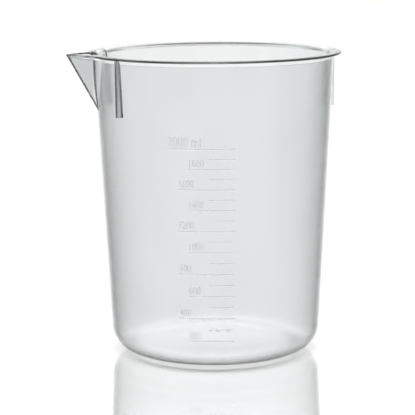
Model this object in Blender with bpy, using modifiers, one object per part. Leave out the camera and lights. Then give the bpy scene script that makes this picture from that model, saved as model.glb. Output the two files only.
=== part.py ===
"""Stackable 2000 ml beaker, injection moulded in clear polypropylene.

Frame: metres, +Z up, origin at the centre of the flat underside, on the wall's axis.
The spout points along -X. The scale faces -Y and ends on the plane X = 0.
"""

import math

import bmesh
import bpy
from mathutils import Matrix, Vector

MM = 0.001

# Driving dimensions, in millimetres and degrees.
HEIGHT = 193.2
BASE_RADIUS = 66.7            # outer wall, extrapolated down to the underside
TAPER = 0.052                 # outer radius gained per millimetre of height
WALL = 2.0
FLOOR = 2.5
OUTER_CORNER = 14.5           # radius between wall and underside
INNER_CORNER = 12.0           # radius between wall and inner floor

LIP_RADIUS = 81.7
LIP_EDGE = 1.5                # thickness of the lip at its rim
LIP_FILLET = 3.0              # radius under the lip, where it leaves the wall

SPOUT_FOOT_Z = 157.0          # where the spout's keel leaves the wall
SPOUT_TIP_RADIUS = 94.6       # reach of the spout's tip from the axis
SPOUT_TIP_Z = 193.0           # top of the tip, a little below the rim
SPOUT_SPREAD = 15.0           # half angle that the spout takes from the wall, at the rim
SPOUT_LIP_SPREAD = 18.5       # half angle at which the spout's lip joins the round lip
SPOUT_OVERHANG = 0.8          # how far the lip stands out over the spout's keel

RIB_SPREAD = 30.0             # angle from the spout's centre to each rib beside it
RIB_FOOT_Z = 156.3
RIB_FOOT_RADIUS = 79.0
RIB_TOP_RADIUS = 79.3
RIB_THICKNESS = 2.4

MARK_STEP = 100               # millilitres between scale lines
MARK_FIRST = 200
MARK_LAST = 2000
MARK_WIDTH = 0.9
MARK_RELIEF = 0.4
MARK_SHORT = 16.0             # lines with no number
MARK_MEDIUM = 28.5            # 200, 600, 1000, 1400 and 1800 ml
MARK_LONG = 34.5              # 400, 800, 1200 and 1600 ml
MARK_TOP = 42.0               # 2000 ml

GAP = 0.3                     # clearance between a rib and the vessel
MARK_GAP = 0.15               # clearance between a scale line and the wall
ROUND_STEPS = 96
CORNER_STEPS = 6

PLASTIC_COLOUR = (0.90, 0.92, 0.93, 1.0)
MARK_COLOUR = (0.80, 0.83, 0.85, 1.0)


def clear_scene():
    for item in list(bpy.data.objects):
        bpy.data.objects.remove(item, do_unlink=True)


def new_collection(name):
    collection = bpy.data.collections.new(name)
    bpy.context.scene.collection.children.link(collection)
    return collection


def plastic(name, colour, roughness):
    material = bpy.data.materials.new(name)
    material.use_nodes = True
    shader = material.node_tree.nodes["Principled BSDF"]
    shader.inputs["Base Color"].default_value = colour
    shader.inputs["Roughness"].default_value = roughness
    shader.inputs["Metallic"].default_value = 0.0
    shader.inputs["IOR"].default_value = 1.49
    shader.inputs["Transmission Weight"].default_value = 0.8
    return material


def add_mesh(name, bm, collection, material=None):
    mesh = bpy.data.meshes.new(name)
    bm.to_mesh(mesh)
    bm.free()
    item = bpy.data.objects.new(name, mesh)
    collection.objects.link(item)
    if material:
        mesh.materials.append(material)
    return item


def outer_radius(z):
    return BASE_RADIUS + TAPER * z


def inner_radius(z):
    return outer_radius(z) - WALL


def arc(centre, radius, start, end, steps):
    """Points (r, z) on an arc, angles in degrees from +r towards +z."""
    points = []
    for i in range(steps + 1):
        angle = math.radians(start + (end - start) * i / steps)
        points.append((centre[0] + radius * math.cos(angle), centre[1] + radius * math.sin(angle)))
    return points


def corner_centre(radius, floor_z, wall_radius):
    """Centre of a corner arc that touches a flat floor and the tapered wall."""
    lean = math.sqrt(1 + TAPER * TAPER)
    z = floor_z + radius
    return wall_radius(z) - radius * lean, z


def wall_tangent():
    """Angle, below horizontal, of the wall's outward normal."""
    return -math.degrees(math.atan(TAPER))


def outer_profile():
    """Top centre, over the lip, down the wall and in along the underside."""
    points = [(0.0, HEIGHT), (LIP_RADIUS, HEIGHT), (LIP_RADIUS, HEIGHT - LIP_EDGE)]
    under = HEIGHT - LIP_EDGE
    fillet_z = under - LIP_FILLET
    centre = (outer_radius(fillet_z) + LIP_FILLET, fillet_z)
    points += arc(centre, LIP_FILLET, 90, 180, 4)
    corner = corner_centre(OUTER_CORNER, 0.0, outer_radius)
    points += arc(corner, OUTER_CORNER, wall_tangent(), -90, CORNER_STEPS)
    points.append((0.0, 0.0))
    return points


def inner_profile():
    """The hollow: open above the rim, down the inner wall and in along the floor."""
    top = HEIGHT + 5.0
    points = [(0.0, top), (inner_radius(top), top)]
    corner = corner_centre(INNER_CORNER, FLOOR, inner_radius)
    points += arc(corner, INNER_CORNER, wall_tangent(), -90, CORNER_STEPS)
    points.append((0.0, FLOOR))
    return points


def turned(name, profile, collection, material=None):
    """A solid of revolution: an open profile from axis to axis, with a Screw modifier."""
    bm = bmesh.new()
    corners = [bm.verts.new((r * MM, 0.0, z * MM)) for r, z in profile]
    for a, b in zip(corners, corners[1:]):
        bm.edges.new((a, b))
    item = add_mesh(name, bm, collection, material)
    screw = item.modifiers.new("Turn", "SCREW")
    screw.axis = "Z"
    screw.steps = ROUND_STEPS
    screw.render_steps = ROUND_STEPS
    screw.use_merge_vertices = True
    screw.merge_threshold = 0.00001
    screw.use_smooth_shade = True
    return item


class SpoutSide:
    """The plane of one spout facet, and the same plane moved into the plastic.

    Points are (reach, side, z): reach is measured from the axis towards the tip.
    """

    def __init__(self, inset):
        foot = Vector((outer_radius(SPOUT_FOOT_Z), 0.0, SPOUT_FOOT_Z))
        tip = Vector((SPOUT_TIP_RADIUS - SPOUT_OVERHANG, 0.0, SPOUT_TIP_Z - LIP_EDGE))
        spread = math.radians(SPOUT_SPREAD)
        rim = outer_radius(HEIGHT)
        side = Vector((rim * math.cos(spread), rim * math.sin(spread), HEIGHT))
        self.normal = (tip - foot).cross(side - foot).normalized()
        if self.normal.x < 0:
            self.normal = -self.normal
        self.level = self.normal.dot(foot) - inset

    def reach(self, side, z):
        return (self.level - self.normal.y * side - self.normal.z * z) / self.normal.x

    def side(self, reach, z):
        return (self.level - self.normal.x * reach - self.normal.z * z) / self.normal.y

    def keel_z(self, reach):
        return (self.level - self.normal.x * reach) / self.normal.z


def hull(name, points, collection):
    """A convex solid around points given as (reach, side, z), with the spout along -X."""
    bm = bmesh.new()
    for reach, side, z in points:
        bm.verts.new((-reach * MM, side * MM, z * MM))
    made = bmesh.ops.convex_hull(bm, input=bm.verts)
    unused = [v for v in made["geom_interior"] if isinstance(v, bmesh.types.BMVert)]
    bmesh.ops.delete(bm, geom=unused, context="VERTS")
    bmesh.ops.recalc_face_normals(bm, faces=bm.faces)
    return add_mesh(name, bm, collection)


def spout_body(cutters):
    """The solid V under the spout's lip. Its back reaches into the hollow, which is cut later."""
    facet = SpoutSide(0.0)
    back = 66.0
    tip_z = SPOUT_TIP_Z - LIP_EDGE / 2
    back_z = HEIGHT - LIP_EDGE / 2
    width = facet.side(back, back_z)
    points = [
        (back, 0.0, facet.keel_z(back)),
        (facet.reach(0.0, tip_z), 0.0, tip_z),
        (back, width, back_z),
        (back, -width, back_z),
    ]
    return hull("spout_body_shape", points, cutters)


def spout_hollow(cutters):
    """The pouring channel: the facets moved in by the wall thickness, open at the top."""
    facet = SpoutSide(WALL)
    back = 60.0
    top = HEIGHT + 5.0
    width = facet.side(back, top)
    points = [
        (back, 0.0, facet.keel_z(back)),
        (facet.reach(0.0, top), 0.0, top),
        (back, width, top),
        (back, -width, top),
    ]
    return hull("spout_hollow_shape", points, cutters)


def spout_lip(cutters):
    """The lip's triangle over the spout, sloping down a little to the tip."""
    spread = math.radians(SPOUT_LIP_SPREAD)
    joint = (LIP_RADIUS * math.cos(spread), LIP_RADIUS * math.sin(spread))
    back = (66.0, 18.0)
    points = []
    for drop in (0.0, LIP_EDGE):
        points.append((SPOUT_TIP_RADIUS, 0.0, SPOUT_TIP_Z - drop))
        for sign in (-1, 1):
            points.append((joint[0], sign * joint[1], HEIGHT - drop))
            points.append((back[0], sign * back[1], HEIGHT - drop))
    return hull("spout_lip_shape", points, cutters)


def combine(target, tool, operation):
    boolean = target.modifiers.new(tool.name, "BOOLEAN")
    boolean.object = tool
    boolean.operation = operation
    boolean.solver = "EXACT"
    tool.hide_render = True
    tool.display_type = "WIRE"


def make_vessel(parts, cutters, material):
    """Floor, wall, lip and spout: one watertight shell, because it holds the liquid."""
    vessel = turned("vessel", outer_profile(), parts, material)
    combine(vessel, spout_body(cutters), "UNION")
    combine(vessel, spout_lip(cutters), "UNION")
    hollow = turned("hollow_shape", inner_profile(), cutters)
    combine(hollow, spout_hollow(cutters), "UNION")
    combine(vessel, hollow, "DIFFERENCE")
    return vessel


def make_rib(name, azimuth, parts, material):
    """A fin under the lip that keeps nested beakers apart, at an angle from -Y towards +X."""
    foot = outer_radius(RIB_FOOT_Z) + GAP
    under = HEIGHT - LIP_EDGE - GAP
    shoulder = under - LIP_FILLET
    root = outer_radius(shoulder) + GAP
    top = shoulder + RIB_TOP_RADIUS - root      # a 45 degree slope keeps clear of the fillet
    outline = [(foot, RIB_FOOT_Z), (RIB_FOOT_RADIUS, RIB_FOOT_Z), (RIB_TOP_RADIUS, top), (root, shoulder)]
    curve = bpy.data.curves.new(name, "CURVE")
    curve.dimensions = "2D"
    curve.fill_mode = "BOTH"
    curve.extrude = RIB_THICKNESS / 2 * MM
    spline = curve.splines.new("POLY")
    spline.points.add(len(outline) - 1)
    for point, (r, z) in zip(spline.points, outline):
        point.co = (r * MM, z * MM, 0.0, 1.0)
    spline.use_cyclic_u = True
    curve.materials.append(material)
    rib = bpy.data.objects.new(name, curve)
    rib.rotation_euler = (math.radians(90), 0.0, math.radians(azimuth - 90))
    parts.objects.link(rib)
    return rib


def contents(z):
    """Millilitres held up to height z: a tapered well less the rounded corner."""
    radius = inner_radius(0.0)

    def cone(height):
        return math.pi * (
            radius * radius * height
            + radius * TAPER * height ** 2
            + TAPER ** 2 * height ** 3 / 3
        )

    lost_section = (1 - math.pi / 4) * INNER_CORNER ** 2
    lost_radius = radius - 0.22 * INNER_CORNER
    lost = 2 * math.pi * lost_radius * lost_section
    return (cone(z) - cone(FLOOR) - lost) / 1000


def height_of(volume):
    """Height of the liquid's surface for a volume in millilitres, by bisection."""
    low, high = FLOOR, HEIGHT
    for _ in range(50):
        middle = (low + high) / 2
        if contents(middle) < volume:
            low = middle
        else:
            high = middle
    return (low + high) / 2


def mark_length(volume):
    if volume == MARK_LAST:
        return MARK_TOP
    if volume % 400 == 200:
        return MARK_MEDIUM
    if volume % 400 == 0:
        return MARK_LONG
    return MARK_SHORT


def make_mark(volume, parts, material):
    """A raised scale line: a strip that follows the wall, thickened outwards."""
    middle = height_of(volume)
    length = mark_length(volume)
    sweep = length / outer_radius(middle)
    columns = max(3, round(length / 4))
    name = f"scale_line_{volume:04d}_ml"
    bm = bmesh.new()
    rows = []
    for z in (middle - MARK_WIDTH / 2, middle + MARK_WIDTH / 2):
        radius = outer_radius(z) + MARK_GAP
        row = []
        for i in range(columns + 1):
            angle = -sweep * (1 - i / columns)
            place = (radius * math.sin(angle) * MM, -radius * math.cos(angle) * MM, z * MM)
            row.append(bm.verts.new(place))
        rows.append(row)
    for i in range(columns):
        bm.faces.new((rows[0][i], rows[0][i + 1], rows[1][i + 1], rows[1][i]))
    mark = add_mesh(name, bm, parts, material)
    solid = mark.modifiers.new("Relief", "SOLIDIFY")
    solid.thickness = MARK_RELIEF * MM
    solid.offset = 1.0
    return mark


def main():
    clear_scene()
    parts = new_collection("beaker")
    cutters = new_collection("beaker_shapes")
    clear = plastic("polypropylene", PLASTIC_COLOUR, 0.12)
    raised = plastic("polypropylene_relief", MARK_COLOUR, 0.2)
    make_vessel(parts, cutters, clear)
    spout = -90.0
    make_rib("stacking_rib_front", spout + RIB_SPREAD, parts, clear)
    make_rib("stacking_rib_back", spout - RIB_SPREAD, parts, clear)
    make_rib("stacking_rib_opposite", spout + 180.0, parts, clear)
    for volume in range(MARK_FIRST, MARK_LAST + MARK_STEP, MARK_STEP):
        make_mark(volume, parts, raised)


main()
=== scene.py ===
"""Looks of the graduated beaker: clear, slightly milky polypropylene on a white table, lit from behind.

Lengths are millimetres unless a comment says otherwise; make_mesh() turns them into metres. Azimuths are
degrees from -Y towards +X, so the spout is at -90 and the scale ends at 0.
"""

import math

import bmesh
import bpy
from mathutils import Matrix, Vector


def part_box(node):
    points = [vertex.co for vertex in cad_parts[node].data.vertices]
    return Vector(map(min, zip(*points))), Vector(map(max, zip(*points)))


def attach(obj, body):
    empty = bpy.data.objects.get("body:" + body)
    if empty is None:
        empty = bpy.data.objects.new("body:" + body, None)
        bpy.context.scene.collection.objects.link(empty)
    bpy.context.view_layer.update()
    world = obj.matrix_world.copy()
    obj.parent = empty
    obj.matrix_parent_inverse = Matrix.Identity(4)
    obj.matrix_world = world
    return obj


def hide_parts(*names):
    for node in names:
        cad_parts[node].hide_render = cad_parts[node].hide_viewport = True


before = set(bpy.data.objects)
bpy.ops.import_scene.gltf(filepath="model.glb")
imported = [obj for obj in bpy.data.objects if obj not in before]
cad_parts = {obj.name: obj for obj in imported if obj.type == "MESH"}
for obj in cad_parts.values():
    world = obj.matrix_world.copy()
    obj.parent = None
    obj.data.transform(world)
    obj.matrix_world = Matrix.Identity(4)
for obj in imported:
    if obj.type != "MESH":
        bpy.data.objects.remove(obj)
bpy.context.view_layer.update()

MM = 0.001
TINY = 1e-4
MARKS = range(200, 2001, 100)
NUMBERS = {v: str(v) for v in range(200, 1801, 200)} | {2000: "2000 ml"}

# Read from the frame.
vessel_low, vessel_high = (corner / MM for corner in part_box("vessel"))
HEIGHT = vessel_high.z
LIP_RADIUS = vessel_high.y
SPOUT_REACH = -vessel_low.x
RIB_FOOT_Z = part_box("stacking_rib_opposite")[0].z / MM
RIB_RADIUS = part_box("stacking_rib_opposite")[1].x / MM

# The moulding's own numbers, the same as the CAD's.
BASE_RADIUS = 66.7
TAPER = 0.052
WALL = 2.0
FLOOR = 2.5
OUTER_CORNER = 14.5
INNER_CORNER = 12.0
LIP_EDGE = 1.5                # thickness of the lip
SPOUT_AZIMUTH = -90.0
SPOUT_DROOP = 0.2             # the tip is this much lower than the rim

# The spout, narrower than the CAD's.
SPOUT_FOOT_Z = 155.6
SPOUT_OVERHANG = 0.15         # the lip's tip stands out this much past the spout's keel
SPOUT_SPREAD = 12.0           # angle from the spout's centre to where its side meets the rim
SPOUT_LIP_SPREAD = 16.0
SPOUT_WALL = 0.8
SPOUT_REGION = 40.0           # the spout's shape is worked out this many degrees to either side
SPOUT_BELOW = 12.0            # and from this far under its foot
KEEL_ROUND = 0.25             # degrees
BLEND_FOOT, BLEND_RIM = 0.3, 2.5     # rounding between spout and wall, at the foot and from BLEND_RISE up
BLEND_RISE = 25.0
LIP_BLEND = 1.0

# Lip and rim.
LIP_FILLET = 3.5
FILLET_SHARE = 0.7            # the fillet takes at most this share of the lip's overhang
LIP_ROUND = 0.5
RIM_ROUND = 3.0               # inner edge of the rim
RIM_FLAT = 0.1                # least width of the rim's flat top, at the spout's tip

# Stacking ribs.
RIB_SPREAD = 30.4             # angle between the spout and the ribs next to it
RIB_FOOT_LEAN = 0.3           # a rib's foot is this much nearer the axis than its top
RIB_ROOT_HALF = 1.5           # half thickness of a rib at the wall, with its fillets
RIB_PLATE_HALF = 1.25         # half thickness of a rib above its fillets
RIB_TIP_HALF = 0.85
RIB_FILLET = 0.4              # how far a rib's fillets reach out from the wall
RIB_ROUND = 0.3
RIB_LEAST = 0.02              # least depth of a rib, under the lip's fillet

# Raised scale.
MARK_WIDTH = 0.95
MARK_RELIEF = 0.45
MARK_FULLNESS = 0.6           # exponent of a line's section: 1 is a cosine, and less is fuller
MARK_END = 0.6                # share of the relief at a line's ends
MARK_END_ANGLE = 0.1          # degrees
NUMBER_HEIGHT = 4.7
TOP_NUMBER_HEIGHT = 6.2       # the 2000 ml line's number is larger
NUMBER_NARROW = 0.73
NUMBER_INDENT = 0.6           # from the line's left end
NUMBER_RISE = 1.6             # from the line to the foot of its number
NUMBER_RELIEF = 0.4
NUMBER_SHOULDER = 0.4         # share of the relief at which the bevel starts
NUMBER_BEVEL = 0.17
NUMBER_ROOT = 0.02            # how deep a number's root stands in the wall
INSET_LIMIT = 0.4             # keeps the bevel short at sharp corners of a digit

# The grid.
DISC_RINGS = 6
CORNER_STEPS = 14
FILLET_STEPS = 6              # of the fillet as far as the ribs' radius
FILLET_END_STEPS = 3          # of the rest of it
LIP_STEPS = 5
RIM_STEPS = 9
MARK_STEPS = 8
WALL_STEP, SPOUT_STEP, INNER_STEP = 4.0, 1.6, 6.0     # between rows: outer wall, spout, inner wall
COLUMN_STEPS = ((2.9, 0.25), (24.0, 0.5), (360.0, 1.2))     # (degrees from the spout, step in degrees)
COLUMN_GAP = 0.15             # least angle between an even column and an exact one
SHARP_RIB, SHARP_MARK, SHARP_NUMBER = 40, 50, 20     # edges over this many degrees are shaded sharp


# ---------------------------------------------------------------- shape of the moulding

def outer_wall(z):
    return BASE_RADIUS + TAPER * z


def inner_wall(z):
    return outer_wall(z) - WALL


def wrap(angle):
    """The same angle between -180 and 180."""
    return (angle + 180) % 360 - 180


def smooth_step(x):
    x = min(1.0, max(0.0, x))
    return x * x * (3 - 2 * x)


def smooth_max(a, b, width):
    """The larger of a and b, rounded over width where they cross."""
    h = max(width - abs(a - b), 0.0) / width
    return max(a, b) + h * h * width / 4


class SpoutFacet:
    """One flat side of the spout as a plane, moved inwards by inset. The other side is its mirror image."""

    def __init__(self, inset):
        foot = Vector((outer_wall(SPOUT_FOOT_Z), 0.0, SPOUT_FOOT_Z))
        tip = Vector((SPOUT_REACH - SPOUT_OVERHANG, 0.0, HEIGHT - SPOUT_DROOP - LIP_EDGE))
        spread = math.radians(SPOUT_SPREAD)
        rim = outer_wall(HEIGHT)
        side = Vector((rim * math.cos(spread), rim * math.sin(spread), HEIGHT))
        self.normal = (side - foot).cross(tip - foot).normalized()
        self.level = self.normal.dot(foot) - inset

    def radius(self, turn, z):
        """Distance from the axis to the facet, at an angle in degrees from the spout's centre."""
        a = math.radians(math.hypot(turn, KEEL_ROUND))
        n = self.normal
        return (self.level - n.z * z) / (n.x * math.cos(a) + n.y * math.sin(a))


OUTER_FACET = SpoutFacet(0.0)
INNER_FACET = SpoutFacet(SPOUT_WALL)


def with_spout(wall, facet, azimuth, z):
    """The wall's radius, or the spout side's where that lies further out."""
    turn = abs(wrap(azimuth - SPOUT_AZIMUTH))
    if turn > SPOUT_REGION or z < SPOUT_FOOT_Z - SPOUT_BELOW:
        return wall
    rise = smooth_step((z - SPOUT_FOOT_Z) / BLEND_RISE)
    return smooth_max(wall, facet.radius(turn, z), BLEND_FOOT + (BLEND_RIM - BLEND_FOOT) * rise)


def outer_radius(azimuth, z):
    return with_spout(outer_wall(z), OUTER_FACET, azimuth, z)


def inner_radius(azimuth, z):
    return with_spout(inner_wall(z), INNER_FACET, azimuth, z)


def lip_radius(azimuth):
    turn = math.hypot(wrap(azimuth - SPOUT_AZIMUTH), KEEL_ROUND)
    if turn > SPOUT_REGION:
        return LIP_RADIUS
    spread = math.radians(SPOUT_LIP_SPREAD)
    opening = math.atan2(LIP_RADIUS * math.sin(spread), SPOUT_REACH - LIP_RADIUS * math.cos(spread))
    start = opening + math.radians(KEEL_ROUND)
    edge = SPOUT_REACH * math.sin(start) / math.sin(opening + math.radians(turn))
    return smooth_max(LIP_RADIUS, edge, LIP_BLEND)


def droop(azimuth, z):
    """How far the mouth dips towards the spout's tip: nothing on the round wall, most at the tip's rim."""
    out = (lip_radius(azimuth) - LIP_RADIUS) / (SPOUT_REACH - LIP_RADIUS)
    up = (z - SPOUT_FOOT_Z) / (HEIGHT - SPOUT_FOOT_Z)
    return SPOUT_DROOP * max(0.0, out) * smooth_step(up)


def arc(centre, radius, start, end, steps, skip_first=False):
    points = []
    for i in range(1 if skip_first else 0, steps + 1):
        a = math.radians(start + (end - start) * i / steps)
        points.append((centre[0] + radius * math.cos(a), centre[1] + radius * math.sin(a)))
    return points


def corner(radius, floor_z, wall):
    """Corner arc between floor and tapered wall, from the floor outwards and up."""
    z = floor_z + radius
    lean = math.sqrt(1 + TAPER * TAPER)
    centre = (wall(z) - radius * lean, z)
    return arc(centre, radius, -90, -math.degrees(math.atan(TAPER)), CORNER_STEPS)


# ---------------------------------------------------------------- the grid that every solid shares

def mark_height(volume):
    low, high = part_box(f"scale_line_{volume:04d}_ml")
    return (low.z + high.z) / 2 / MM


def mark_start(volume):
    """Azimuth of the left end of a scale line; the right end is at 0."""
    low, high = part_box(f"scale_line_{volume:04d}_ml")
    return -math.degrees(math.asin(-low.x / MM / outer_wall(mark_height(volume))))


def levels(start, end, step):
    """Evenly spaced values from start up to, but without, end."""
    count = max(1, math.ceil(abs(end - start) / step))
    return [start + (end - start) * i / count for i in range(count)]


MARK_STARTS = {v: mark_start(v) for v in MARKS}
MARK_EDGES = {v: (mark_height(v) - MARK_WIDTH / 2, mark_height(v) + MARK_WIDTH / 2) for v in MARKS}
RIB_AZIMUTHS = {
    "stacking_rib_front": SPOUT_AZIMUTH + RIB_SPREAD,
    "stacking_rib_back": SPOUT_AZIMUTH - RIB_SPREAD,
    "stacking_rib_opposite": SPOUT_AZIMUTH + 180,
}
RIB_HALF = math.degrees(RIB_ROOT_HALF / RIB_RADIUS)


def wall_levels():
    """Heights of the rows on the outer wall, between the bottom corner and the fillet under the lip."""
    fixed = [corner(OUTER_CORNER, 0, outer_wall)[-1][1]]
    for edges in MARK_EDGES.values():
        fixed += edges
    fixed += [SPOUT_FOOT_Z - 8, RIB_FOOT_Z, RIB_FOOT_Z + RIB_ROUND, HEIGHT - LIP_EDGE - LIP_FILLET]
    fixed.sort()
    rows = []
    for low, high in zip(fixed, fixed[1:]):
        rows += levels(low, high, WALL_STEP if high < SPOUT_FOOT_Z - 1 else SPOUT_STEP)
    return rows


def fillet_split():
    """Angle on the lip's fillet at which it reaches the ribs' radius."""
    centre = outer_wall(HEIGHT - LIP_EDGE - LIP_FILLET) + LIP_FILLET
    return 180 - math.degrees(math.acos((centre - RIB_RADIUS) / LIP_FILLET))


WALL_LEVELS = wall_levels()
INNER_LEVELS = (
    levels(HEIGHT - RIM_ROUND, SPOUT_FOOT_Z - SPOUT_BELOW, SPOUT_STEP)[1:]
    + levels(SPOUT_FOOT_Z - SPOUT_BELOW, corner(INNER_CORNER, FLOOR, inner_wall)[-1][1], INNER_STEP)
)
FILLET_SPLIT = fillet_split()
WALL_START = DISC_RINGS - 1 + CORNER_STEPS        # rows of a section: first on the wall
WALL_END = WALL_START + len(WALL_LEVELS)          # first on the lip's fillet
UNDERSIDE = WALL_END + FILLET_STEPS               # where the fillet reaches the ribs' radius


def columns():
    """Azimuths of the grid: fine at the spout, with lines on the ends of each rib and each scale line."""
    exact = [0.0]
    for azimuth in RIB_AZIMUTHS.values():
        exact += [azimuth + RIB_HALF * share for share in (-1, -0.5, 0, 0.5, 1)]
    exact += sorted({round(start, 6) for start in MARK_STARTS.values()})
    exact = sorted(wrap(a) for a in exact)
    even = []
    a = -180.0
    while a < 180.0 - 1e-9:
        even.append(a)
        a += next(step for limit, step in COLUMN_STEPS if abs(wrap(a - SPOUT_AZIMUTH)) < limit)
    clear = [a for a in even if all(abs(a - e) > COLUMN_GAP for e in exact)]
    return sorted(clear + exact)


COLUMNS = columns()


def outside_rows(azimuth):
    """Underside, bottom corner and outer wall."""
    outside = corner(OUTER_CORNER, 0, outer_wall)
    rows = [(outside[0][0] * i / DISC_RINGS, 0.0) for i in range(1, DISC_RINGS)]
    rows += outside[:-1]
    return rows + [(outer_radius(azimuth, z), z) for z in WALL_LEVELS]


def lip_rows(azimuth):
    """Fillet, underside, rounded edge and top of the lip, and the rounded inner edge of the rim."""
    edge = lip_radius(azimuth)
    under = HEIGHT - LIP_EDGE
    fillet = min(LIP_FILLET, (edge - outer_radius(azimuth, under)) * FILLET_SHARE)
    centre = (outer_radius(azimuth, under - fillet) + fillet, under - fillet)
    rows = arc(centre, fillet, 180, FILLET_SPLIT, FILLET_STEPS)
    rows += arc(centre, fillet, FILLET_SPLIT, 90, FILLET_END_STEPS, True)
    rows += arc((edge - LIP_ROUND, under + LIP_ROUND), LIP_ROUND, -90, 0, LIP_STEPS)
    rows += arc((edge - LIP_ROUND, HEIGHT - LIP_ROUND), LIP_ROUND, 0, 90, LIP_STEPS)
    inner = inner_radius(azimuth, HEIGHT - RIM_ROUND)
    room = min(RIM_ROUND, edge - LIP_ROUND - RIM_FLAT - inner)
    rows += [((edge + inner + room - LIP_ROUND) / 2, HEIGHT)]
    rim = arc((1, 0), 1, 90, 180, RIM_STEPS)
    return rows + [(inner + room * x, HEIGHT - RIM_ROUND * (1 - z)) for x, z in rim]


def inside_rows(azimuth):
    """Inner wall, inner corner and floor."""
    rows = [(inner_radius(azimuth, z), z) for z in INNER_LEVELS]
    inside = corner(INNER_CORNER, FLOOR, inner_wall)
    rows += inside[::-1]
    return rows + [(inside[0][0] * i / DISC_RINGS, FLOOR) for i in range(DISC_RINGS - 1, 0, -1)]


def section(azimuth):
    """Half section of the vessel at one azimuth: (r, z), from the underside up outside and down inside."""
    rows = outside_rows(azimuth) + lip_rows(azimuth) + inside_rows(azimuth)
    return [(r, z - droop(azimuth, z)) for r, z in rows]


# ---------------------------------------------------------------- the pieces

def place(radius, azimuth, z):
    a = math.radians(azimuth)
    return (radius * math.sin(a), -radius * math.cos(a), z)


def make_mesh(name, points, faces, materials, face_materials, sharp=None):
    mesh = bpy.data.meshes.new(name)
    mesh.from_pydata([tuple(c * MM for c in p) for p in points], [], faces)
    for material in materials:
        mesh.materials.append(material)
    mesh.polygons.foreach_set("material_index", face_materials)
    mesh.shade_smooth()
    if sharp is not None:
        mesh.set_sharp_from_angle(angle=math.radians(sharp))
    mesh.validate()
    mesh.update()
    item = bpy.data.objects.new(name, mesh)
    bpy.context.scene.collection.objects.link(item)
    return item


def face_kind(sections, column, row):
    """1 for a face of the vessel's grid that lies under a rib or a scale line, and 0 elsewhere."""
    if not WALL_START <= row < UNDERSIDE:
        return 0
    left, right = COLUMNS[column], COLUMNS[(column + 1) % len(COLUMNS)]
    middle = (left + right + (360 if right < left else 0)) / 2
    z = (sections[column][row][1] + sections[column][row + 1][1]) / 2
    if z > RIB_FOOT_Z and any(abs(wrap(middle - a)) < RIB_HALF for a in RIB_AZIMUTHS.values()):
        return 1
    for volume, (low, high) in MARK_EDGES.items():
        if low < z < high and MARK_STARTS[volume] - TINY < middle < 0:
            return 1
    return 0


def make_vessel(plastic, joined):
    """The watertight shell as one grid. Faces under a rib or a scale line are the joined material."""
    sections = [section(a) for a in COLUMNS]
    count = len(sections[0])
    points = [(0.0, 0.0, 0.0)]
    for rows, azimuth in zip(sections, COLUMNS):
        points += [place(r, azimuth, z) for r, z in rows]
    points.append((0.0, 0.0, FLOOR))
    faces, kinds = [], []
    for column in range(len(COLUMNS)):
        a = 1 + column * count
        b = 1 + (column + 1) % len(COLUMNS) * count
        faces.append((0, b, a))
        kinds.append(0)
        for row in range(count - 1):
            faces.append((a + row, b + row, b + row + 1, a + row + 1))
            kinds.append(face_kind(sections, column, row))
        faces.append((a + count - 1, b + count - 1, len(points) - 1))
        kinds.append(0)
    return make_mesh("vessel_moulding", points, faces, [plastic, joined], kinds)


def rib_half_outline(depth):
    """One side of a rib seen from above, wall to tip: (mm from the middle, share of the depth)."""
    spread = RIB_ROOT_HALF - RIB_PLATE_HALF
    points = []
    for angle in range(0, 91, 15):
        a = math.radians(angle)
        points.append((RIB_ROOT_HALF - spread * math.sin(a), RIB_FILLET * (1 - math.cos(a)) / depth))
    for angle in range(0, 91, 30):
        a = math.radians(angle)
        x = RIB_TIP_HALF - RIB_ROUND * (1 - math.cos(a))
        points.append((x, 1 - RIB_ROUND * (1 - math.sin(a)) / depth))
    return points


def rib_outline(depth):
    """The whole outline as (degrees from the middle, share of the depth), without its ends on the wall."""
    side = [(math.degrees(x / RIB_RADIUS), share) for x, share in rib_half_outline(depth)[1:]]
    return [(-x, share) for x, share in side] + side[::-1]


def make_rib(name, plastic, joined):
    """A drafted fin under the lip. Its root is the vessel's own grid, so the two meet without a gap."""
    middle = wrap(RIB_AZIMUTHS[name])
    azimuths = [a for a in COLUMNS if abs(a - middle) < RIB_HALF + TINY]
    start = WALL_START + min(i for i, z in enumerate(WALL_LEVELS) if z > RIB_FOOT_Z - TINY)
    rows = section(middle)[start:UNDERSIDE + 1]
    outline = rib_outline(RIB_RADIUS - rows[0][0])
    under = HEIGHT - LIP_EDGE
    width = len(azimuths) + len(outline)
    points = []
    for row, (wall, z) in enumerate(rows):
        lean = RIB_FOOT_LEAN * (under - z) / (under - RIB_FOOT_Z)
        foot = RIB_ROUND if row == 0 else 0.0
        depth = max(RIB_LEAST, RIB_RADIUS - lean - foot - wall)
        points += [place(wall, a, z) for a in azimuths]
        points += [place(wall + depth * share, middle + x, z) for x, share in outline[::-1]]
    faces = [list(range(width))]
    kinds = [0]
    for row in range(len(rows) - 1):
        for i in range(width):
            a, b = row * width + i, row * width + (i + 1) % width
            faces.append((a, a + width, b + width, b))
            kinds.append(1 if i < len(azimuths) - 1 else 0)
    faces.append([(len(rows) - 1) * width + i for i in range(width - 1, -1, -1)])
    kinds.append(1)
    return make_mesh(name + "_skin", points, faces, [plastic, joined], kinds, SHARP_RIB)


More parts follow.
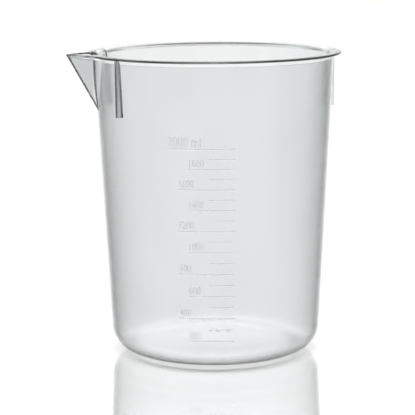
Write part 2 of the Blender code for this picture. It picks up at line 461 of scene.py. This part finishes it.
def make_mark(volume, plastic, joined):
    """One raised scale line with a rounded section. Its root is the vessel's own grid."""
    start = MARK_STARTS[volume]
    azimuths = [a for a in COLUMNS if start - TINY < a < TINY]
    low, high = MARK_EDGES[volume]
    points, faces, kinds = [], [], []
    for azimuth in azimuths:
        end = min(azimuth - azimuths[0], azimuths[-1] - azimuth)
        relief = MARK_RELIEF * (MARK_END if end < MARK_END_ANGLE else 1.0)
        for i in range(MARK_STEPS + 1):
            t = math.pi * (i / MARK_STEPS - 0.5)
            z = (low + high) / 2 + MARK_WIDTH / 2 * math.sin(t)
            points.append(place(outer_wall(z) + relief * math.cos(t) ** MARK_FULLNESS, azimuth, z))
    width = MARK_STEPS + 1
    for column in range(len(azimuths) - 1):
        a, b = column * width, (column + 1) * width
        for i in range(MARK_STEPS):
            faces.append((a + i, b + i, b + i + 1, a + i + 1))
            kinds.append(0)
        faces.append((a, a + MARK_STEPS, b + MARK_STEPS, b))
        kinds.append(1)
    last = (len(azimuths) - 1) * width
    faces.append(tuple(range(width)))
    faces.append(tuple(last + i for i in range(MARK_STEPS, -1, -1)))
    kinds += [0, 0]
    return make_mesh(f"scale_line_{volume:04d}_skin", points, faces, [plastic, joined], kinds, SHARP_MARK)


def flat_text(text):
    """The text's outline, filled: 2-D points, and faces wound anticlockwise."""
    curve = bpy.data.curves.new("number", "FONT")
    curve.body = text
    curve.resolution_u = 3
    item = bpy.data.objects.new("number", curve)
    bpy.context.scene.collection.objects.link(item)
    shape = item.evaluated_get(bpy.context.evaluated_depsgraph_get())
    bm = bmesh.new()
    bm.from_mesh(shape.to_mesh())
    shape.to_mesh_clear()
    bpy.data.objects.remove(item, do_unlink=True)
    bmesh.ops.remove_doubles(bm, verts=bm.verts, dist=1e-5)
    bm.verts.index_update()
    bm.normal_update()
    points = [(v.co.x, v.co.y) for v in bm.verts]
    faces = []
    for face in bm.faces:
        corners = [v.index for v in face.verts]
        faces.append(corners if face.normal.z > 0 else corners[::-1])
    bm.free()
    return points, faces


def outline_edges(faces):
    """Edges that only one face uses, in that face's direction."""
    used = {(a, b) for face in faces for a, b in zip(face, face[1:] + face[:1])}
    return sorted((a, b) for a, b in used if (b, a) not in used)


def inset(points, edges, distance):
    """The points moved inwards from the outline's edges."""
    sides = {i: [] for i in range(len(points))}
    for a, b in edges:
        along = (Vector(points[b]) - Vector(points[a])).normalized()
        for i in (a, b):
            sides[i].append(Vector((-along.y, along.x)))
    moved = []
    for i, point in enumerate(points):
        first, second = sides[i][0], sides[i][-1]
        share = distance / max(INSET_LIMIT, 1 + first.dot(second))
        moved.append(Vector(point) + (first + second) * share)
    return moved


def sized_text(volume):
    """A number's outline in millimetres from its lower left corner, its faces, and its height."""
    points, faces = flat_text(NUMBERS[volume])
    digits = [y for x, y in points if x < 0.5]      # the first digit, which stands on the line
    height = TOP_NUMBER_HEIGHT if volume == 2000 else NUMBER_HEIGHT
    scale = height / (max(digits) - min(digits))
    left = min(x for x, y in points)
    sized = [((x - left) * scale * NUMBER_NARROW, (y - min(digits)) * scale) for x, y in points]
    return sized, faces, height


def make_number(volume, plastic, joined):
    """The number over a scale line: raised letters with bevelled edges, bent round the wall."""
    points, faces, height = sized_text(volume)
    edges = outline_edges(faces)
    top = inset(points, edges, NUMBER_BEVEL)
    foot = mark_height(volume) + NUMBER_RISE
    degree = math.radians(outer_wall(foot + height / 2))
    left = MARK_STARTS[volume]
    placed = []
    shoulder = NUMBER_RELIEF * NUMBER_SHOULDER
    for outline, relief in ((points, -NUMBER_ROOT), (points, shoulder), (top, NUMBER_RELIEF)):
        for x, y in outline:
            z = foot + y
            placed.append(place(outer_wall(z) + relief, left + (NUMBER_INDENT + x) / degree, z))
    n = len(points)
    solid = [face[::-1] for face in faces]
    kinds = [1] * len(solid)
    solid += [[2 * n + i for i in face] for face in faces]
    for a, b in edges:
        solid.append((a, b, n + b, n + a))
        solid.append((n + a, n + b, 2 * n + b, 2 * n + a))
    kinds += [0] * (len(solid) - len(kinds))
    return make_mesh(f"scale_number_{volume:04d}", placed, solid, [plastic, joined], kinds, SHARP_NUMBER)


# ---------------------------------------------------------------- node helpers

def math_node(tree, operation, a, b=None, c=None):
    node = tree.nodes.new("ShaderNodeMath")
    node.operation = operation
    for socket, value in zip(node.inputs, (a, b, c)):
        if value is None:
            continue
        if hasattr(value, "is_linked"):
            tree.links.new(value, socket)
        else:
            socket.default_value = value
    return node.outputs[0]


def times(tree, *values):
    """The product of several values or sockets."""
    product = values[0]
    for value in values[1:]:
        product = math_node(tree, "MULTIPLY", product, value)
    return product


def fade(tree, value, start, end, low, high):
    """Low up to start, high from end on, and a smooth change between."""
    node = tree.nodes.new("ShaderNodeMapRange")
    node.interpolation_type = "SMOOTHSTEP"
    tree.links.new(value, node.inputs["Value"])
    node.inputs["From Min"].default_value = start
    node.inputs["From Max"].default_value = end
    node.inputs["To Min"].default_value = low
    node.inputs["To Max"].default_value = high
    return node.outputs[0]


def fade_angle(tree, sine, start, end, low, high):
    """A fade between two angles in degrees, of a value that is the angle's sine."""
    return fade(tree, sine, math.sin(math.radians(start)), math.sin(math.radians(end)), low, high)


def fade_mm(tree, value, start, end, low, high):
    """A fade between two lengths in millimetres, of a value in metres."""
    return fade(tree, value, start * MM, end * MM, low, high)


def noise(tree, coord, stretch, scale, detail):
    """Noise per metre, 0 to 1, stretched along the axes by the factors in stretch."""
    mapping = tree.nodes.new("ShaderNodeMapping")
    mapping.inputs["Scale"].default_value = stretch
    tree.links.new(coord, mapping.inputs["Vector"])
    node = tree.nodes.new("ShaderNodeTexNoise")
    node.inputs["Scale"].default_value = scale
    node.inputs["Detail"].default_value = detail
    tree.links.new(mapping.outputs[0], node.inputs["Vector"])
    return node.outputs["Fac"]


def split_xyz(tree, vector):
    node = tree.nodes.new("ShaderNodeSeparateXYZ")
    tree.links.new(vector, node.inputs[0])
    return node.outputs


def direction(tree, vector):
    node = tree.nodes.new("ShaderNodeVectorMath")
    node.operation = "NORMALIZE"
    tree.links.new(vector, node.inputs[0])
    return node.outputs[0]


def empty_tree(owner):
    """The node tree of a material or world, emptied."""
    owner.use_nodes = True
    owner.node_tree.nodes.clear()
    return owner.node_tree


# ---------------------------------------------------------------- materials

TINT = (0.97, 0.98, 0.985, 1)
PLASTIC_IOR = 1.49
NOISE_MIDDLE = (0.3, 0.7)     # nearly all of a noise's values lie between these
ROUGHNESS_CHANGE = 0.15       # share by which roughness varies
HAZE_CHANGE = 0.3             # share by which haze varies
SPOUT_CLOUD = (76.5, 79.0)    # the drawn-out spout is cloudier; it starts this far from the axis
SPOUT_HAZE = 0.07
ROUGHNESS_NOISE = {"stretch": (1, 1, 1), "scale": 30, "detail": 3}
HAZE_NOISE = {"stretch": (1, 1, 0.5), "scale": 22, "detail": 2}
PEEL_NOISE = {"stretch": (1, 1, 1), "scale": 700, "detail": 2}
FLOW_NOISE = {"stretch": (1, 1, 0.12), "scale": 90, "detail": 3}
SCRATCH_NOISE = {"stretch": (0.05, 0.05, 1), "scale": 2500, "detail": 1}
SCRATCH_FROM = (0.68, 0.8)    # only the peaks of that noise are scratches
FLOW_SHARE = 0.6              # heights of flow lines and scratches, as a share of the orange peel's
SCRATCH_SHARE = -0.5
BUMP_STRENGTH = 0.3
BUMP_HEIGHT = 0.02            # mm


def varied_roughness(tree, coord, roughness):
    low, high = roughness * (1 - ROUGHNESS_CHANGE), roughness * (1 + ROUGHNESS_CHANGE)
    return fade(tree, noise(tree, coord, **ROUGHNESS_NOISE), *NOISE_MIDDLE, low, high)


def clearness(tree, coord, haze):
    """Share of the light that goes through clear plastic; the rest meets the milky haze."""
    low, high = 1 - haze * (1 + HAZE_CHANGE), 1 - haze * (1 - HAZE_CHANGE)
    clear = fade(tree, noise(tree, coord, **HAZE_NOISE), *NOISE_MIDDLE, low, high)
    start, end = SPOUT_CLOUD
    cloudy = fade_mm(tree, split_xyz(tree, coord)["X"], -end, -start, SPOUT_HAZE, 0)
    return math_node(tree, "SUBTRACT", clear, cloudy)


def moulded_relief(tree, coord):
    """Bump of the fine orange peel, the flow lines and the hairline scratches."""
    scratch = fade(tree, noise(tree, coord, **SCRATCH_NOISE), *SCRATCH_FROM, 0, 1)
    height = noise(tree, coord, **PEEL_NOISE)
    height = math_node(tree, "MULTIPLY_ADD", noise(tree, coord, **FLOW_NOISE), FLOW_SHARE, height)
    height = math_node(tree, "MULTIPLY_ADD", scratch, SCRATCH_SHARE, height)
    bump = tree.nodes.new("ShaderNodeBump")
    bump.inputs["Strength"].default_value = BUMP_STRENGTH
    bump.inputs["Distance"].default_value = BUMP_HEIGHT * MM
    tree.links.new(height, bump.inputs["Height"])
    return bump.outputs[0]


def plastic_material(name, roughness, haze):
    """Moulded polypropylene: clear, with a milky haze and a fine relief."""
    material = bpy.data.materials.new(name)
    material.use_nodes = True
    tree = material.node_tree
    shader = tree.nodes["Principled BSDF"]
    shader.inputs["Base Color"].default_value = TINT
    shader.inputs["IOR"].default_value = PLASTIC_IOR
    coord = tree.nodes.new("ShaderNodeTexCoord").outputs["Object"]
    tree.links.new(varied_roughness(tree, coord, roughness), shader.inputs["Roughness"])
    tree.links.new(clearness(tree, coord, haze), shader.inputs["Transmission Weight"])
    tree.links.new(moulded_relief(tree, coord), shader.inputs["Normal"])
    return material


def joined_material():
    """For faces inside the plastic, where two pieces of the moulding run into each other: nothing to see."""
    material = bpy.data.materials.new("joined_inside")
    tree = empty_tree(material)
    out = tree.nodes.new("ShaderNodeOutputMaterial")
    clear = tree.nodes.new("ShaderNodeBsdfTransparent")
    tree.links.new(clear.outputs[0], out.inputs["Surface"])
    return material


# ---------------------------------------------------------------- studio

# The tent's brightness. Angles are degrees: aside from the view's direction, and above or below the horizon.
TENT_WHITE = 1.02
TENT_DARK = 0.1
SIDE_START, SIDE_END = 12.0, 45.0
AHEAD_START, AHEAD_END = -0.1, 0.3     # cosines, behind and in front of the camera
BELOW_START, BELOW_END = -17.0, -28.0
HIGH_START, HIGH_END = 15.0, 21.0
HIGH_GAIN = 1.7
ABOVE_START, ABOVE_END = 30.0, 55.0
ABOVE_LEVEL = 0.12
LOW_START, LOW_END = -18.0, -30.0
LOW_LEVEL = 0.35
GLOW_START, GLOW_END = -50.0, -75.0
GLOW_LEVEL = 0.65

TABLE_SIZE = 60.0             # metres, so that it reaches the horizon
TABLE_DEPTH = 1.5             # the mirror lies this far under the sheet that the beaker stands on
TABLE_ROUGHNESS = 0.02
TABLE_MIRROR = 0.65           # share that the table mirrors up to MIRROR_START degrees, less when steeper
MIRROR_START, MIRROR_END = 17.0, 30.0
MIRROR_STEEP = 0.08
SHADE_INNER, SHADE_OUTER = 60.0, 70.0
SHADE_LEVEL = 0.82            # the beaker's base shades the table close round it
POOL_INNER, POOL_OUTER = 48.0, 55.0     # the painted glow under the beaker fades between these radii
POOL_LEVEL = 0.5
POOL_BACK = 11.0              # the painted glow lies this far behind the axis
POOL_FADE = 30.0              # it weakens from this far behind the axis to as far in front of it
POOL_FRONT = 0.42             # share of the painted glow left at the beaker's front
RING_INNER, RING_OUTER = (38.0, 52.0), (76.0, 90.0)
RING_LEVEL = 0.3              # painted glow on the table close round the beaker, seen from steeply above
RING_MIDDLE = (25.0, 55.0)    # the ring is weaker this close to the view's middle
RING_MIDDLE_SHARE = 0.6


def panel_share(tree, seen, height):
    """How much of the white panel lies in a direction: 1 in its middle, 0 on the black flags."""
    square = math_node(tree, "SUBTRACT", 1 + TINY, times(tree, height, height))
    level = math_node(tree, "SQRT", square)
    side = math_node(tree, "ABSOLUTE", math_node(tree, "DIVIDE", seen["X"], level))
    across = fade_angle(tree, side, SIDE_START, SIDE_END, 1, 0)
    ahead = fade(tree, seen["Z"], AHEAD_START, AHEAD_END, 0, 1)
    below = fade_angle(tree, height, BELOW_END, BELOW_START, 0, 1)
    above = fade_angle(tree, height, ABOVE_START, ABOVE_END, 1, ABOVE_LEVEL)
    gain = fade_angle(tree, height, HIGH_START, HIGH_END, 1, HIGH_GAIN)
    return times(tree, across, ahead, below, above, gain)


def make_world():
    """A white panel behind the object, black flags at both sides, dim above, below and behind the camera."""
    world = bpy.data.worlds.new("tent")
    bpy.context.scene.world = world
    tree = empty_tree(world)
    coord = tree.nodes.new("ShaderNodeTexCoord")
    seen = split_xyz(tree, direction(tree, coord.outputs["Camera"]))
    height = split_xyz(tree, direction(tree, coord.outputs["Generated"]))["Z"]
    share = panel_share(tree, seen, height)
    panel = math_node(tree, "MULTIPLY_ADD", share, TENT_WHITE - TENT_DARK, TENT_DARK)
    low = fade_angle(tree, height, LOW_END, LOW_START, LOW_LEVEL, 0)
    glow = fade_angle(tree, height, GLOW_END, GLOW_START, GLOW_LEVEL, 0)
    strength = math_node(tree, "MAXIMUM", panel, math_node(tree, "ADD", low, glow))
    back = tree.nodes.new("ShaderNodeBackground")
    back.inputs["Color"].default_value = (1, 1, 1, 1)
    tree.links.new(strength, back.inputs["Strength"])
    out = tree.nodes.new("ShaderNodeOutputWorld")
    tree.links.new(back.outputs[0], out.inputs["Surface"])


def distance(tree, position, back):
    """Distance in metres from the beaker's axis, moved back by a length in millimetres."""
    moved = tree.nodes.new("ShaderNodeVectorMath")
    moved.operation = "SUBTRACT"
    tree.links.new(position, moved.inputs[0])
    moved.inputs[1].default_value = (0, back * MM, 0)
    length = tree.nodes.new("ShaderNodeVectorMath")
    length.operation = "LENGTH"
    tree.links.new(moved.outputs[0], length.inputs[0])
    return length.outputs["Value"]


def table_mirror(tree, radius, steep):
    """The half-mirrored sheet, shaded under the beaker."""
    clear = tree.nodes.new("ShaderNodeBsdfTransparent")
    shine = tree.nodes.new("ShaderNodeBsdfGlossy")
    shine.inputs["Roughness"].default_value = TABLE_ROUGHNESS
    shade = fade_mm(tree, radius, SHADE_INNER, SHADE_OUTER, SHADE_LEVEL, 1)
    for shader in (clear, shine):
        tree.links.new(shade, shader.inputs["Color"])
    mix = tree.nodes.new("ShaderNodeMixShader")
    share = fade_angle(tree, steep, MIRROR_START, MIRROR_END, TABLE_MIRROR, MIRROR_STEEP)
    tree.links.new(share, mix.inputs["Fac"])
    tree.links.new(clear.outputs[0], mix.inputs[1])
    tree.links.new(shine.outputs[0], mix.inputs[2])
    return mix.outputs[0]


def painted_table_glow(tree, position, radius, steep):
    """Painted light on the table, which glows though it is no lamp: a pool under the beaker, and a ring round
    it for steep views.
    """
    where = split_xyz(tree, position)
    # painted light: a glowing pool on the table under the beaker, stronger towards the back
    pool = fade_mm(tree, distance(tree, position, POOL_BACK), POOL_INNER, POOL_OUTER, POOL_LEVEL, 0)
    pool = times(tree, pool, fade_mm(tree, where["Y"], -POOL_FADE, POOL_FADE, POOL_FRONT, 1))
    from_middle = math_node(tree, "ABSOLUTE", where["X"])
    # painted light: a glowing ring on the table round the beaker, for steep views
    ring = times(
        tree,
        fade_mm(tree, radius, *RING_INNER, 0, RING_LEVEL),
        fade_mm(tree, radius, *RING_OUTER, 1, 0),
        fade_mm(tree, from_middle, *RING_MIDDLE, RING_MIDDLE_SHARE, 1),
        fade_angle(tree, steep, MIRROR_START, MIRROR_END, 0, 1),
    )
    light = tree.nodes.new("ShaderNodeEmission")
    light.inputs["Color"].default_value = (1, 1, 1, 1)
    tree.links.new(math_node(tree, "ADD", pool, ring), light.inputs["Strength"])
    return light.outputs[0]


def table_material():
    """Clear, half-mirrored acrylic: it shows the tent below it and reflects the beaker. It carries a painted
    shade close round the beaker and a painted glow under and round it.
    """
    material = bpy.data.materials.new("table_acrylic")
    tree = empty_tree(material)
    here = tree.nodes.new("ShaderNodeNewGeometry").outputs
    steep = math_node(tree, "ABSOLUTE", split_xyz(tree, here["Incoming"])["Z"])
    radius = distance(tree, here["Position"], 0)
    both = tree.nodes.new("ShaderNodeAddShader")
    tree.links.new(table_mirror(tree, radius, steep), both.inputs[0])
    tree.links.new(painted_table_glow(tree, here["Position"], radius, steep), both.inputs[1])
    out = tree.nodes.new("ShaderNodeOutputMaterial")
    tree.links.new(both.outputs[0], out.inputs["Surface"])
    return material


def make_floor():
    half = TABLE_SIZE / 2
    corners = [(-half, -half), (half, -half), (half, half), (-half, half)]
    mesh = bpy.data.meshes.new("table")
    mesh.from_pydata([(x, y, -TABLE_DEPTH * MM) for x, y in corners], [], [(0, 1, 2, 3)])
    mesh.materials.append(table_material())
    floor = bpy.data.objects.new("table", mesh)
    bpy.context.scene.collection.objects.link(floor)


VIEW_TURN = -10.0             # the camera stands 10 degrees round from -Y, towards the spout
VIEW_DISTANCE = 1.1088        # metres from the axis
VIEW_HEIGHT = 0.28254         # metres
VIEW_PITCH = 9.787            # degrees down
VIEW_YAW = -0.245
VIEW_ROLL = -0.4421
LENS = 149.99
SENSOR = 36


def make_camera():
    data = bpy.data.cameras.new("camera")
    data.lens = LENS
    data.sensor_width = SENSOR
    camera = bpy.data.objects.new("camera", data)
    bpy.context.scene.collection.objects.link(camera)
    turn = Matrix.Rotation(math.radians(VIEW_TURN), 3, "Z")
    pitch, yaw, roll = (math.radians(a) for a in (VIEW_PITCH, VIEW_YAW, VIEW_ROLL))
    forward = Vector((math.sin(yaw) * math.cos(pitch), math.cos(yaw) * math.cos(pitch), -math.sin(pitch)))
    level = Vector((math.cos(yaw), -math.sin(yaw), 0))
    up = Vector((math.sin(yaw) * math.sin(pitch), math.cos(yaw) * math.sin(pitch), math.cos(pitch)))
    right = level * math.cos(roll) + up * math.sin(roll)
    upright = up * math.cos(roll) - level * math.sin(roll)
    axes = Matrix((right, upright, -forward)).transposed()
    camera.matrix_world = (turn @ axes).to_4x4()
    camera.location = turn @ Vector((0, -VIEW_DISTANCE, VIEW_HEIGHT))
    bpy.context.scene.camera = camera


def set_light_paths():
    """Enough bounces for light through several walls of plastic."""
    scene = bpy.context.scene
    scene.view_settings.view_transform = "Standard"
    scene.cycles.use_denoising = True
    scene.cycles.max_bounces = 24
    scene.cycles.transmission_bounces = 24
    scene.cycles.glossy_bounces = 12
    scene.cycles.transparent_max_bounces = 24


# ---------------------------------------------------------------- put together

vessel_plastic = plastic_material("polypropylene", roughness=0.1, haze=0.03)
rib_plastic = plastic_material("polypropylene_ribs", roughness=0.4, haze=0.05)
scale_plastic = plastic_material("polypropylene_scale", roughness=0.29, haze=0.03)
joined = joined_material()

vessel = make_vessel(vessel_plastic, joined)
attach(vessel, "root")
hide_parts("vessel")
for name in RIB_AZIMUTHS:
    rib = make_rib(name, rib_plastic, joined)
    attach(rib, "root")
    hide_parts(name)
for volume in MARKS:
    mark = make_mark(volume, scale_plastic, joined)
    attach(mark, "root")
    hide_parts(f"scale_line_{volume:04d}_ml")
for volume in NUMBERS:
    number = make_number(volume, scale_plastic, joined)
    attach(number, "root")

make_world()
make_floor()
make_camera()
set_light_paths()
